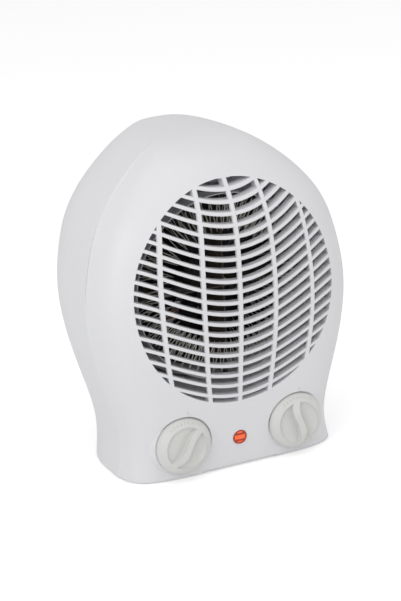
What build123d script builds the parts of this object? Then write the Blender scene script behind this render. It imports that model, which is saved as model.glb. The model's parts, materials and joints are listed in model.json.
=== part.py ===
from build123d import *
from math import cos, sin, pi, radians
import os

# Upright fan heater, in millimetres. X is to the right of a viewer who faces the grille,
# the grille faces -Y, Z is up, and Z = 0 is the surface that the rubber feet stand on.

# Casing
WALL = 2.4
BASE_Z = 0.8
# Stations of the casing from the base up: height, half width, front, rear, squareness of the front
STATIONS = [
    (BASE_Z, 85.5, -59.0, 54.0, 6.0),
    (10, 83.5, -59.7, 58.0, 6.0),
    (25, 82.0, -61.2, 62.5, 6.0),
    (45, 85.0, -63.6, 66.0, 6.0),
    (70, 92.0, -67.0, 68.5, 5.5),
    (100, 99.3, -71.0, 70.7, 4.5),
    (130, 102.4, -73.0, 72.6, 3.4),
    (160, 98.8, -72.9, 72.6, 2.5),
    (185, 90.5, -70.0, 70.8, 2.2),
    (205, 76.5, -62.0, 67.4, 2.0),
    (220, 60.5, -50.5, 63.5, 2.0),
    (230, 46.5, -39.0, 60.0, 2.0),
    (236, 35.0, -25.0, 57.0, 2.0),
    (239.6, 20.5, -4.0, 52.0, 2.0),
    (241.0, 9.0, 20.0, 46.0, 2.0),
    (241.4, 2.0, 30.0, 38.0, 2.0),
]
TOP_Z = STATIONS[-1][0]
CROWN_Z = 236
FRONT_FULLNESS = 3.76
REAR_SQUARENESS = 3.4
REAR_FULLNESS = 2.27
SECTION_STEPS = 14
SPLIT_Y = 44
SPLIT_TURN_Z = 196
SPLIT_TOP = (61, 228)
LIP_GAP = 0.15
LIP_WALL = 1.4
LIP_LENGTH = 3

# Front grille
GRILLE_Z = 134
GRILLE_HALF_WIDTH = 77.7
GRILLE_HALF_HEIGHT = 81.6
GRILLE_DEPTH = 5.5
SLAT_PITCH = 7.96
SLAT_THICKNESS = 2.6
FIRST_SLAT_Z = 57.2
SLAT_ROWS = range(-3, 20)
SLAT_SAG = 15
SLAT_HALF_WAVE = 100
BAR_WIDTH = 3.2
BAR_PLACES = (-59, -28.1, 0, 28.1, 59)
BAR_BOW = 0.17
SMALLEST_SLOT = 7

# Controls
KNOB_X = 45.3
KNOB_Z = 26.5
KNOB_RADIUS = 21.4
KNOB_BACK_Y = -61.4
KNOB_SKIRT = 1.2
KNOB_CREST_Y = -71.4
HOLLOW_RADIUS = 15.8
HOLLOW_FLOOR_RADIUS = 12
HOLLOW_FLOOR_Y = -66.2
HOLLOW_EDGE_Y = -68.4
RIDGE_WIDTH = 5.6
RIDGE_LINE = ((0, -16.8), (2.2, -8), (0.2, 0), (-2.6, 8), (0, 16.8))
SELECTOR_TURN = 48
SEAT_RADIUS = 22.3
SEAT_Y = -60.9
SEAT_FOOT_RADIUS = 25.4
SEAT_FOOT_Y = -54
SEAT_BACK_RADIUS = 24.6
STEM_RADIUS = 4.8
STEM_HOLE_RADIUS = 5.6
SPINDLE_RADIUS = 3.0
SPINDLE_FLAT = 1.5
FIT = 0.05
GRIP = 0.02
CONTROL_PAD_Y = -55
CONTROL_PAD_RADIUS = 18
LAMP_Z = 23
LAMP_RADIUS = 5.3
LAMP_STEM_RADIUS = 4.2
LAMP_SEAT_Y = -60.2

# Air path
FAN_Z = 134
SHROUD_RADIUS = 68
SHROUD_WALL = 0.8
SHROUD_FRONT_Y = -48
DUCT_RADIUS = 61
DUCT_WALL = 2.2
DUCT_FRONT_Y = -14
DUCT_REAR_Y = 18
FLANGE_RADIUS = 76
FLANGE_THICKNESS = 2.5
EAR_REACH = 88
EAR_ANGLES = (30, 150, 210, 330)
EAR_RADIUS = 6
SCREW_RADIUS = 1.5
THREAD_RADIUS = 1.55
SCREW_HOLE_RADIUS = 1.8
SCREW_HEAD_RADIUS = 3.1

# Heating element
MICA_THICKNESS = 1.0
MICA_FRONT_Y = -46
MICA_REAR_Y = -18
COIL_WIRE = 0.9
COIL_INNER = 38
COIL_OUTER = 64
COIL_TEETH = 36

# Fan and motor
BLADE_COUNT = 7
BLADE_TIP_RADIUS = 58
HUB_RADIUS = 13
HUB_FRONT_Y = -9
HUB_REAR_Y = 10
SHAFT_RADIUS = 1.6
CORE_FRONT_Y = 27
CORE_REAR_Y = 45
ROTOR_RADIUS = 12.7
BEARING_RADIUS = 5
BEARING_LENGTH = 6.5
FRONT_BEARING_Y = 13
REAR_BEARING_Y = 49
MOTOR_SCREW_X = 24

# Rear casing
CASING_SCREWS = ((49, 204, 14), (55, 14, 30))
REAR_TUBE_RADIUS = 5
HANDLE_HALF_WIDTH = 40
HANDLE_Z = (193, 215)
HANDLE_FLOOR_Y = 43
INTAKE_RADIUS = 54
INTAKE_PITCH = 7.5
INTAKE_SLOT = 3.6
INTAKE_BARS = (-56, -18, 18, 56)
INLET_X = 42
INLET_Z = 20
INLET_SEAT_Y = 56
INLET_WALL = 5
FOOT_RADIUS = 6.5
FOOT_THICKNESS = 1.3
FOOT_PLACES = ((62, -42), (58, 30))


# Small helpers

def rod(radius, y0, y1, x=0, z=0):
    """A cylinder along Y between two depths."""
    return Pos(x, (y0 + y1) / 2, z) * Rot(90, 0, 0) * Cylinder(radius, abs(y1 - y0))


def cone(radius0, y0, radius1, y1, x=0, z=0):
    """A cone along Y, with radius0 at y0 and radius1 at the greater depth y1."""
    return Pos(x, (y0 + y1) / 2, z) * Rot(90, 0, 0) * Cone(radius1, radius0, y1 - y0)


def pipe(inner, outer, y0, y1, x=0, z=0):
    """A tube along Y between two depths."""
    return rod(outer, y0, y1, x, z) - rod(inner, y0 - 1, y1 + 1, x, z)


def block(x0, x1, y0, y1, z0, z1):
    """A box between two corners."""
    centre = Pos((x0 + x1) / 2, (y0 + y1) / 2, (z0 + z1) / 2)
    return centre * Box(x1 - x0, y1 - y0, z1 - z0)


def prism(sketch, y0, y1):
    """A sketch drawn as seen from the front (X, Z), made solid from depth y0 to y1."""
    return extrude(Plane.XZ.offset(-y1) * sketch, y1 - y0)


def mirrored(shape):
    """A shape and its twin on the other side of the middle plane."""
    return [shape, mirror(shape, Plane.YZ)]


def write(shape, name):
    export_step(shape, f"parts/{name}.step")


# Casing form

def half_outline(half, mid, reach, squareness, fullness):
    """Points of half a superellipse, from the right side round to the left one."""
    points = []
    for step in range(SECTION_STEPS + 1):
        turn = pi * step / SECTION_STEPS
        across = cos(turn)
        deep = 0 if step in (0, SECTION_STEPS) else sin(turn)
        x = half * abs(across) ** (2 / squareness) * (1 if across > 0 else -1)
        points.append((x, mid + (reach - mid) * deep ** (2 / fullness)))
    return points


def section(station, inset):
    """One level outline of the casing, made smaller all round by inset."""
    z, half, front, rear, squareness = station
    half = max(half - inset, 0.5)
    front, rear = front + inset, rear - inset
    if rear - front < 1:
        front, rear = (front + rear) / 2 - 0.5, (front + rear) / 2 + 0.5
    widest = (front + rear) / 2 if z > CROWN_Z else 0.068 * (z - 120) - 5.7
    squeeze = (TOP_Z - BASE_Z - 2 * inset) / (TOP_Z - BASE_Z)
    level = BASE_Z + inset + (z - BASE_Z) * squeeze
    ahead = half_outline(half, widest, front, squareness, FRONT_FULLNESS)
    behind = half_outline(half, widest, rear, REAR_SQUARENESS, REAR_FULLNESS)
    face = Spline([(x, y, level) for x, y in ahead], tangents=[(0, -1, 0), (0, 1, 0)])
    back = Spline([(x, y, level) for x, y in reversed(behind)], tangents=[(0, 1, 0), (0, -1, 0)])
    return make_face([face, back])


def casing_form(inset=0):
    return loft([section(station, inset) for station in STATIONS])


def ahead_of_split():
    """Everything in front of the parting line, which steps back under the crown."""
    y, z = SPLIT_TOP
    outline = Polyline((-120, -10), (SPLIT_Y, -10), (SPLIT_Y, SPLIT_TURN_Z))
    outline += TangentArc((SPLIT_Y, SPLIT_TURN_Z), (y, z), tangent=(0, 1))
    outline += Polyline((y, z), (90, z + 8), (90, 270), (-120, 270), (-120, -10))
    return Pos(-120, 0, 0) * extrude(Plane.YZ * make_face(outline), 240)


# Front casing

def sag(x):
    """How much higher a slat stands at x than in the middle of the grille."""
    return SLAT_SAG * (1 - cos(pi * x / SLAT_HALF_WAVE))


def bar_x(place, z):
    """The upright bars bow inwards towards the top and foot of the grille."""
    return place * (1 - BAR_BOW * ((z - GRILLE_Z) / GRILLE_HALF_HEIGHT) ** 2)


def ribbon(one, other):
    """The face between two curves that run the same way."""
    return make_face([one, Line(one @ 1, other @ 1), other, Line(other @ 0, one @ 0)])


def air_gap(low, high):
    """The gap between two slats, from side to side."""
    places = range(-90, 91, 15)
    foot = Spline([(x, low + sag(x)) for x in places])
    head = Spline([(x, high + sag(x)) for x in places])
    return ribbon(foot, head)


def upright_bar(place):
    """One upright bar of the grille."""
    heights = [GRILLE_Z + step * GRILLE_HALF_HEIGHT / 2 for step in (-2.2, -1, 0, 1, 2.2)]
    left = Spline([(bar_x(place, z) - BAR_WIDTH / 2, z) for z in heights])
    right = Spline([(bar_x(place, z) + BAR_WIDTH / 2, z) for z in heights])
    return ribbon(left, right)


def grille_slots():
    """All air slots of the front grille, as one body that runs along Y."""
    oval = Pos(0, GRILLE_Z) * Ellipse(GRILLE_HALF_WIDTH, GRILLE_HALF_HEIGHT)
    bars = [prism(Sketch() + upright_bar(place), -95, -40) for place in BAR_PLACES]
    gaps = []
    for row in SLAT_ROWS:
        low = FIRST_SLAT_Z + row * SLAT_PITCH + SLAT_THICKNESS / 2
        cut = air_gap(low, low + SLAT_PITCH - SLAT_THICKNESS) & oval
        for face in (cut.faces() if cut else []):
            if face.area > SMALLEST_SLOT:
                gaps.append(prism(Sketch() + face, -90, -44))
    return Part() + gaps - bars


def ear_centres():
    """Places of the four screws that hold the duct, across and up."""
    return [(EAR_REACH * cos(radians(a)), FAN_Z + EAR_REACH * sin(radians(a))) for a in EAR_ANGLES]


def casing_posts(outer):
    """Pads, posts and webs inside the front casing that the screws go into."""
    posts = [rod(4.5, -70, DUCT_FRONT_Y - SHROUD_WALL, x, z) & outer for x, z in ear_centres()]
    for side in (-1, 1):
        posts.append(rod(SEAT_BACK_RADIUS, SEAT_Y - 1, SEAT_Y + WALL, side * KNOB_X, KNOB_Z) & outer)
        posts.append(rod(CONTROL_PAD_RADIUS, -60, CONTROL_PAD_Y, side * KNOB_X, KNOB_Z))
        (top_x, top_z, top_y), (low_x, low_z, low_y) = CASING_SCREWS
        posts.append(rod(4.5, -60, top_y, side * top_x, top_z) & outer)
        posts.append(rod(4.5, low_y - 24, low_y, side * low_x, low_z))
        x = side * low_x
        posts.append(block(x - 1.2, x + 1.2, low_y - 24, low_y, BASE_Z + 1, low_z))
    return posts


def casing_holes():
    """Seats, holes and recesses that are cut into the front casing."""
    holes = [rod(THREAD_RADIUS, DUCT_FRONT_Y - 14, 0, x, z) for x, z in ear_centres()]
    for side in (-1, 1):
        x = side * KNOB_X
        holes.append(rod(SEAT_RADIUS, -80, SEAT_Y, x, KNOB_Z))
        holes.append(rod(STEM_HOLE_RADIUS, -80, -40, x, KNOB_Z))
        for dz in (-11, 11):
            holes.append(rod(1.2, CONTROL_PAD_Y - 3.7, CONTROL_PAD_Y + 1, x, KNOB_Z + dz))
        for sx, sz, sy in CASING_SCREWS:
            holes.append(rod(THREAD_RADIUS, sy - 12, sy + 1, side * sx, sz))
        for fx, fy in FOOT_PLACES:
            holes.append(Pos(side * fx, fy, 0) * Cylinder(FOOT_RADIUS + 0.1, 2 * FOOT_THICKNESS))
    holes.append(rod(LAMP_RADIUS + 0.2, -80, LAMP_SEAT_Y, 0, LAMP_Z))
    holes.append(rod(LAMP_STEM_RADIUS + FIT, -80, -40, 0, LAMP_Z))
    holes.append(block(-30, 30, -80, -52, -1, BASE_Z + 1))
    return holes


def front_casing(outer, inner, deep):
    """Front, sides, floor and crown in one moulding, with the grille cut through it."""
    oval = Pos(0, GRILLE_Z) * Ellipse(GRILLE_HALF_WIDTH + 1.5, GRILLE_HALF_HEIGHT + 1.5)
    cavity = inner - (prism(oval, -90, -30) - deep)
    seats = [cone(SEAT_RADIUS, SEAT_Y, SEAT_FOOT_RADIUS, SEAT_FOOT_Y, side * KNOB_X, KNOB_Z) for side in (-1, 1)]
    shell = (outer + seats - cavity) & ahead_of_split()
    return shell + casing_posts(outer) - (casing_holes() + [grille_slots()])


# Rear casing

def intake_slots():
    """Level slots of the round intake grille, parted by two upright bars."""
    disc = Pos(0, FAN_Z) * Circle(INTAKE_RADIUS)
    rows = int(INTAKE_RADIUS / INTAKE_PITCH)
    slots = []
    for row in range(-rows, rows + 1):
        z = FAN_Z + row * INTAKE_PITCH
        for left, right in zip(INTAKE_BARS, INTAKE_BARS[1:]):
            cut = (Pos((left + right) / 2, z) * Rectangle(right - left - 3, INTAKE_SLOT)) & disc
            for face in (cut.faces() if cut else []):
                if face.area > SMALLEST_SLOT:
                    slots.append(prism(Sketch() + face, 60, 80))
    return slots


def rear_casing(outer, inner):
    """Rear cover with the intake grille, the finger recess, screw tubes and cable inlet."""
    low, high = HANDLE_Z
    half = HANDLE_HALF_WIDTH
    band = block(-120, 120, SPLIT_Y - LIP_LENGTH, SPLIT_Y + 4, -5, 150)
    lip = (casing_form(WALL + LIP_GAP) & band) - casing_form(WALL + LIP_GAP + LIP_WALL)
    pocket = block(-half - WALL, half + WALL, HANDLE_FLOOR_Y - WALL, 90, low - WALL, high + WALL)
    places = [(side * x, z, y) for x, z, y in CASING_SCREWS for side in (-1, 1)]
    tubes = [rod(REAR_TUBE_RADIUS, y, 80, x, z) & outer for x, z, y in places]
    gland = rod(11, INLET_SEAT_Y - INLET_WALL, 60, INLET_X, INLET_Z) & outer
    shell = (outer - inner) - ahead_of_split() + ([lip, pocket & outer, gland] + tubes)
    holes = [block(-half, half, HANDLE_FLOOR_Y, 90, low, high)]
    for x, z, y in places:
        holes.append(rod(SCREW_HEAD_RADIUS + 0.3, y + 3, 90, x, z))
        holes.append(rod(SCREW_HOLE_RADIUS, y - 1, 90, x, z))
    holes.append(rod(9.2, INLET_SEAT_Y, 90, INLET_X, INLET_Z))
    holes.append(rod(6, 40, 90, INLET_X, INLET_Z))
    return shell - (holes + intake_slots())


# Knobs and controls

def turned(outline, x=0, z=0):
    """A closed outline of (radius, depth) turned round an axis along Y."""
    return Pos(x, 0, z) * revolve(Plane.XY * make_face(outline), Axis.Y)


def knob(x, turn):
    """Domed knob with an S-shaped grip between two scooped hollows."""
    shoulder = (KNOB_RADIUS - 0.2, KNOB_BACK_Y - KNOB_SKIRT)
    crest = (0, KNOB_CREST_Y)
    body = turned([
        Line(crest, (0, KNOB_BACK_Y)),
        Line((0, KNOB_BACK_Y), (KNOB_RADIUS, KNOB_BACK_Y)),
        Line((KNOB_RADIUS, KNOB_BACK_Y), shoulder),
        Spline(shoulder, (18.4, -66.2), (11.6, -70), crest, tangents=[(-0.25, -1), (-1, 0)]),
    ])
    scoop = turned([
        Line((0, -80), (0, HOLLOW_FLOOR_Y)),
        Line((0, HOLLOW_FLOOR_Y), (HOLLOW_FLOOR_RADIUS, HOLLOW_FLOOR_Y)),
        ThreePointArc((HOLLOW_FLOOR_RADIUS, HOLLOW_FLOOR_Y), (14.5, -66.9), (HOLLOW_RADIUS, HOLLOW_EDGE_Y)),
        Line((HOLLOW_RADIUS, HOLLOW_EDGE_Y), (HOLLOW_RADIUS, -80)),
        Line((HOLLOW_RADIUS, -80), (0, -80)),
    ])
    half = RIDGE_WIDTH / 2
    edges = [Spline([(px + side * half, pz) for px, pz in RIDGE_LINE]) for side in (-1, 1)]
    body -= scoop - prism(Sketch() + ribbon(*edges), -90, -50)
    body += rod(STEM_RADIUS, KNOB_BACK_Y, -57)
    body -= spindle_section(SPINDLE_RADIUS + GRIP, KNOB_BACK_Y - 2.5, -50)
    return Pos(x, 0, KNOB_Z) * Rot(0, turn, 0) * body


def spindle_section(radius, y0, y1):
    """A round spindle with one flat."""
    flat = block(-9, 9, y0 - 1, y1 + 1, SPINDLE_FLAT + radius - SPINDLE_RADIUS, 9)
    return rod(radius, y0, y1) - flat


def spindle(x, turn, rear_y):
    """Spindle from inside the knob to inside its control, flatted where the knob sits."""
    shape = spindle_section(SPINDLE_RADIUS, KNOB_BACK_Y - 2, -56.5) + rod(SPINDLE_RADIUS, -56.5, rear_y)
    return Pos(x, 0, KNOB_Z) * Rot(0, turn, 0) * shape


def selector_switch():
    """Rotary switch: moulded case, spindle bore and a row of blade terminals behind."""
    x, z = -KNOB_X, KNOB_Z
    case = block(x - 14, x + 14, CONTROL_PAD_Y, CONTROL_PAD_Y + 20, z - 14, z + 14)
    case = fillet(case.edges().filter_by(Axis.Y), 3)
    case += rod(8, CONTROL_PAD_Y + 20, CONTROL_PAD_Y + 22, x, z)
    case -= rod(SPINDLE_RADIUS + FIT, CONTROL_PAD_Y - 1, CONTROL_PAD_Y + 12, x, z)
    for dz in (-11, 11):
        case -= rod(1.4, CONTROL_PAD_Y - 1, CONTROL_PAD_Y + 21, x, z + dz)
    blades = []
    for dx in (-9.5, -3.2, 3.2, 9.5):
        for dz in (-6.5, 6.5) if abs(dx) > 5 else (-11.5,):
            y = CONTROL_PAD_Y + 20
            blades.append(block(x + dx - 0.4, x + dx + 0.4, y - 3, y + 8, z + dz - 2.4, z + dz + 2.4))
    for blade in blades:
        case -= blade
    return case, blades


def thermostat():
    """Open bimetal thermostat: frame, ceramic stack, bimetal and contact blades."""
    x, z = KNOB_X, KNOB_Z
    y = CONTROL_PAD_Y
    frame = block(x - 22, x + 13, y, y + 1.5, z - 14, z + 14) + rod(5, y, y + 5, x, z)
    frame -= rod(SPINDLE_RADIUS + FIT, y - 1, y + 6, x, z)
    for dz in (-11, 11):
        frame -= rod(1.4, y - 1, y + 2, x, z + dz)
    stack = block(x - 21, x - 11, y + 1.5, y + 16, z - 6, z + 6)
    bimetal = block(x - 27, x + 13, y + 7, y + 7.8, z - 4, z + 4)
    contact = block(x - 27, x + 13, y + 11, y + 11.6, z - 3, z + 3)
    contact += rod(2, y + 9.2, y + 11, x + 10, z)
    stack -= bimetal
    stack -= contact
    return frame, stack, bimetal, contact


def lamp():
    """Neon indicator: domed lens, the bulb behind it and its spring ring."""
    lens = turned([
        Line((0, -65.2), (0, LAMP_SEAT_Y)),
        Line((0, LAMP_SEAT_Y), (LAMP_RADIUS, LAMP_SEAT_Y)),
        Line((LAMP_RADIUS, LAMP_SEAT_Y), (LAMP_RADIUS, -63.2)),
        Spline((LAMP_RADIUS, -63.2), (0, -65.2), tangents=[(-0.2, -1), (-1, 0)]),
    ], 0, LAMP_Z)
    lens += rod(LAMP_STEM_RADIUS, LAMP_SEAT_Y, -48, 0, LAMP_Z)
    lens -= rod(3.2, -62.6, -40, 0, LAMP_Z)
    bulb = rod(2.7, -58, -46, 0, LAMP_Z) + Pos(0, -58, LAMP_Z) * Sphere(2.7)
    ring = pipe(LAMP_STEM_RADIUS + GRIP, 7, -57, -55, 0, LAMP_Z)
    return lens, bulb, ring


# Air path

def ears(y0, y1):
    """Four fixing ears outside a round flange."""
    shapes = []
    for angle in EAR_ANGLES:
        c, s = cos(radians(angle)), sin(radians(angle))
        px, pz = EAR_REACH * c, FAN_Z + EAR_REACH * s
        arm = Pos(px * 0.8, (y0 + y1) / 2, FAN_Z + EAR_REACH * s * 0.8) * Rot(0, -angle, 0) * Box(
            EAR_REACH * 0.4, y1 - y0, 2 * EAR_RADIUS)
        shapes.append(arm + rod(EAR_RADIUS, y0, y1, px, pz))
    return shapes


def ear_holes(y0, y1):
    return [rod(SCREW_HOLE_RADIUS, y0, y1, x, z) for x, z in ear_centres()]


def heater_shroud(tabs):
    """Steel ring round the heating element, with a flange that the duct clamps."""
    y = DUCT_FRONT_Y - SHROUD_WALL
    shroud = rod(FLANGE_RADIUS, y, DUCT_FRONT_Y, 0, FAN_Z)
    for ear in ears(y, DUCT_FRONT_Y):
        shroud += ear
    shroud += rod(SHROUD_RADIUS + SHROUD_WALL, SHROUD_FRONT_Y, y, 0, FAN_Z)
    shroud -= rod(SHROUD_RADIUS, SHROUD_FRONT_Y - 1, DUCT_FRONT_Y + 1, 0, FAN_Z)
    for hole in ear_holes(y - 1, DUCT_FRONT_Y + 1):
        shroud -= hole
    return shroud - tabs


def fan_duct():
    """Moulded duct round the fan, with a spider behind it that carries the motor."""
    y = DUCT_FRONT_Y
    duct = rod(FLANGE_RADIUS, y, y + FLANGE_THICKNESS, 0, FAN_Z)
    for ear in ears(y, y + FLANGE_THICKNESS):
        duct += ear
    duct += rod(DUCT_RADIUS + DUCT_WALL, y, DUCT_REAR_Y, 0, FAN_Z)
    duct -= rod(DUCT_RADIUS, y - 1, DUCT_REAR_Y + 1, 0, FAN_Z)
    spider = rod(13, DUCT_REAR_Y - 3, DUCT_REAR_Y, 0, FAN_Z)
    for angle in (0, 60, 120, 180, 240, 300):
        arm = block(10, DUCT_RADIUS + 1, DUCT_REAR_Y - 3, DUCT_REAR_Y, -3.5, 3.5)
        spider += Pos(0, 0, FAN_Z) * Rot(0, angle, 0) * arm
    for side in (-1, 1):
        spider += rod(6, DUCT_REAR_Y - 3, DUCT_REAR_Y, side * MOTOR_SCREW_X, FAN_Z)
    duct += spider
    duct -= rod(9, 0, 30, 0, FAN_Z)
    for side in (-1, 1):
        duct -= rod(THREAD_RADIUS, 0, 30, side * MOTOR_SCREW_X, FAN_Z)
    for hole in ear_holes(y - 1, y + 5):
        duct -= hole
    return duct


def mica_plates():
    """Two slotted mica plates that cross on the axis; their end tabs seat in the shroud."""
    middle = (MICA_FRONT_Y + MICA_REAR_Y) / 2
    half = MICA_THICKNESS / 2
    reach = SHROUD_RADIUS - 0.3
    plate = block(-reach, reach, MICA_FRONT_Y, MICA_REAR_Y, -half, half)
    tab = block(-SHROUD_RADIUS - 2, SHROUD_RADIUS + 2, middle - 4, middle + 4, -half, half)
    plate += tab
    level = plate - block(-half - 0.05, half + 0.05, MICA_FRONT_Y - 1, middle, -9, 9)
    upright = Rot(0, 90, 0) * (plate - block(-half - 0.05, half + 0.05, middle, MICA_REAR_Y + 1, -9, 9))
    slots = block(-80, 80, middle - 4.1, middle + 4.1, -half - 0.1, half + 0.1)
    return Pos(0, 0, FAN_Z) * level, Pos(0, 0, FAN_Z) * upright, Pos(0, 0, FAN_Z) * (slots + Rot(0, 90, 0) * slots)


def heating_coil(y0, phase):
    """Resistance wire bent into a ring of zigzags."""
    points = []
    for step in range(2 * COIL_TEETH):
        turn = pi * step / COIL_TEETH + phase
        radius = COIL_OUTER if step % 2 else COIL_INNER
        points.append((radius * cos(turn), FAN_Z + radius * sin(turn)))
    path = Polyline(points[:-1])
    return prism(trace(path, COIL_WIRE), y0, y0 + COIL_WIRE)


def thermal_cutout():
    """Bimetal cut-out clipped on the level mica plate."""
    z = FAN_Z + MICA_THICKNESS / 2
    body = block(-40, -26, -45, -33, z, z + 3.5)
    return body + block(-38, -28, -44.2, -34, z + 3.5, z + 4.3)


def thermal_fuse():
    """Axial fuse that lies in the corner of the two mica plates."""
    x = MICA_THICKNESS / 2 + 2
    z = FAN_Z + MICA_THICKNESS / 2 + 2
    return rod(2, -43, -32, x, z) + rod(0.5, -45.5, -29, x, z)


# Fan and motor

def impeller():
    """Moulded axial fan with twisted blades."""
    hub = rod(HUB_RADIUS, HUB_FRONT_Y + 3, HUB_REAR_Y, 0, 0) + cone(HUB_RADIUS - 3, HUB_FRONT_Y, HUB_RADIUS,
                                                                 HUB_FRONT_Y + 3)
    hub -= rod(HUB_RADIUS - 2, HUB_FRONT_Y + 5, HUB_REAR_Y + 1)
    hub += rod(4.5, HUB_FRONT_Y + 4, HUB_REAR_Y)
    middle = (HUB_FRONT_Y + 3 + HUB_REAR_Y) / 2
    root = Plane((HUB_RADIUS - 1.5, middle, 0), x_dir=(0, sin(radians(42)), cos(radians(42))), z_dir=(1, 0, 0))
    tip = Plane((BLADE_TIP_RADIUS, middle, 0), x_dir=(0, sin(radians(24)), cos(radians(24))), z_dir=(1, 0, 0))
    blade = loft([root * Rectangle(15, 1.8), tip * Rectangle(34, 1.4)], ruled=True)
    fan = hub
    for number in range(BLADE_COUNT):
        fan += Rot(0, 360 * number / BLADE_COUNT, 0) * blade
    fan -= rod(HUB_RADIUS - 2, HUB_FRONT_Y + 5, HUB_REAR_Y + 1) - rod(4.5, HUB_FRONT_Y, HUB_REAR_Y + 2)
    fan -= rod(SHAFT_RADIUS + GRIP, HUB_FRONT_Y + 6, HUB_REAR_Y + 1)
    return Pos(0, 0, FAN_Z) * fan


def stator():
    """Laminated C-shaped core of a shaded-pole motor, and the bobbin on its foot."""
    outline = Pos(0, FAN_Z - 20) * RectangleRounded(60, 84, 3)
    window = Pos(0, FAN_Z - 37) * Rectangle(36, 26)
    core = prism(outline - window - Pos(0, FAN_Z) * Circle(ROTOR_RADIUS + 0.35), CORE_FRONT_Y, CORE_REAR_Y)
    for side in (-1, 1):
        core -= rod(SCREW_HOLE_RADIUS, 20, 60, side * MOTOR_SCREW_X, FAN_Z)
    bar = block(-18, 18, CORE_FRONT_Y, CORE_REAR_Y, FAN_Z - 62, FAN_Z - 50)
    bobbin = block(-17.8, 17.8, CORE_FRONT_Y - 8.5, CORE_REAR_Y + 8.5, FAN_Z - 70, FAN_Z - 42)
    flanges = block(-17.8, -16.3, CORE_FRONT_Y - 8.5, CORE_REAR_Y + 8.5, FAN_Z - 70, FAN_Z - 42)
    winding = block(-16.3, 16.3, CORE_FRONT_Y - 7, CORE_REAR_Y + 7, FAN_Z - 68.5, FAN_Z - 43.5)
    sleeve = block(-16.3, 16.3, CORE_FRONT_Y - 1.2, CORE_REAR_Y + 1.2, FAN_Z - 63.2, FAN_Z - 48.8)
    bobbin = sleeve + flanges + mirror(flanges, Plane.YZ) - bar
    return core, bobbin, fillet(winding.edges().filter_by(Axis.X), 2.5) - sleeve


def bridge(strap_y, face_y, cup_y):
    """Stamped bearing bridge with two spacers that stand on the core."""
    y0, y1 = sorted((strap_y, strap_y + 1.5))
    shape = block(-MOTOR_SCREW_X - 5, MOTOR_SCREW_X + 5, y0, y1, -6, 6)
    s0, s1 = (y1, face_y) if face_y > y1 else (face_y, y0)
    for side in (-1, 1):
        shape += rod(3.6, s0, s1, side * MOTOR_SCREW_X)
    shape += rod(BEARING_RADIUS + 2.2, min(cup_y, y0), max(cup_y + BEARING_LENGTH, y1))
    shape -= rod(BEARING_RADIUS + GRIP, 0, 70)
    for side in (-1, 1):
        shape -= rod(SCREW_HOLE_RADIUS, 0, 70, side * MOTOR_SCREW_X)
    return Pos(0, 0, FAN_Z) * shape


def bearing(y):
    return pipe(SHAFT_RADIUS + FIT, BEARING_RADIUS, y, y + BEARING_LENGTH, 0, FAN_Z)


def rotor():
    """Squirrel-cage rotor with its two end rings."""
    shape = rod(ROTOR_RADIUS, CORE_FRONT_Y, CORE_REAR_Y) + rod(10.5, CORE_FRONT_Y - 2.5, CORE_REAR_Y + 2.5)
    return Pos(0, 0, FAN_Z) * (shape - rod(SHAFT_RADIUS + GRIP, 0, 70))


# Fasteners and feet

def screw(x, z, head_y, length):
    """Pan-head screw along Y, put in from behind; its head rests on head_y."""
    return rod(SCREW_HEAD_RADIUS, head_y, head_y + 2.2, x, z) + rod(SCREW_RADIUS, head_y - length, head_y, x, z)


def casing_screws():
    return [screw(side * x, z, y + 3, 13) for x, z, y in CASING_SCREWS for side in (-1, 1)]


def duct_screws():
    return [screw(x, z, DUCT_FRONT_Y + FLANGE_THICKNESS, 14) for x, z in ear_centres()]


def motor_screws():
    return [screw(side * MOTOR_SCREW_X, FAN_Z, 52.5, 37.5) for side in (-1, 1)]


def control_screws():
    shapes = []
    for side, y in ((-1, CONTROL_PAD_Y + 20), (1, CONTROL_PAD_Y + 1.5)):
        for dz in (-11, 11):
            shapes.append(rod(2.2, y, y + 1.6, side * KNOB_X, KNOB_Z + dz)
                          + rod(1.15, CONTROL_PAD_Y - 3.5, y, side * KNOB_X, KNOB_Z + dz))
    return shapes


def rubber_feet():
    feet = []
    for x, y in FOOT_PLACES:
        foot = Pos(x, y, FOOT_THICKNESS / 2) * Cylinder(FOOT_RADIUS, FOOT_THICKNESS)
        feet += mirrored(foot)
    return feet


def cable_inlet_bush():
    """Snap-in bush that lines the cable hole in the rear cover."""
    inner_y = INLET_SEAT_Y - INLET_WALL
    bush = rod(5.9, inner_y - 2, INLET_SEAT_Y) + rod(8.8, INLET_SEAT_Y, INLET_SEAT_Y + 2)
    bush = bush + rod(6.7, inner_y - 2, inner_y) - rod(3.7, 40, 70)
    return Pos(INLET_X, 0, INLET_Z) * bush


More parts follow.
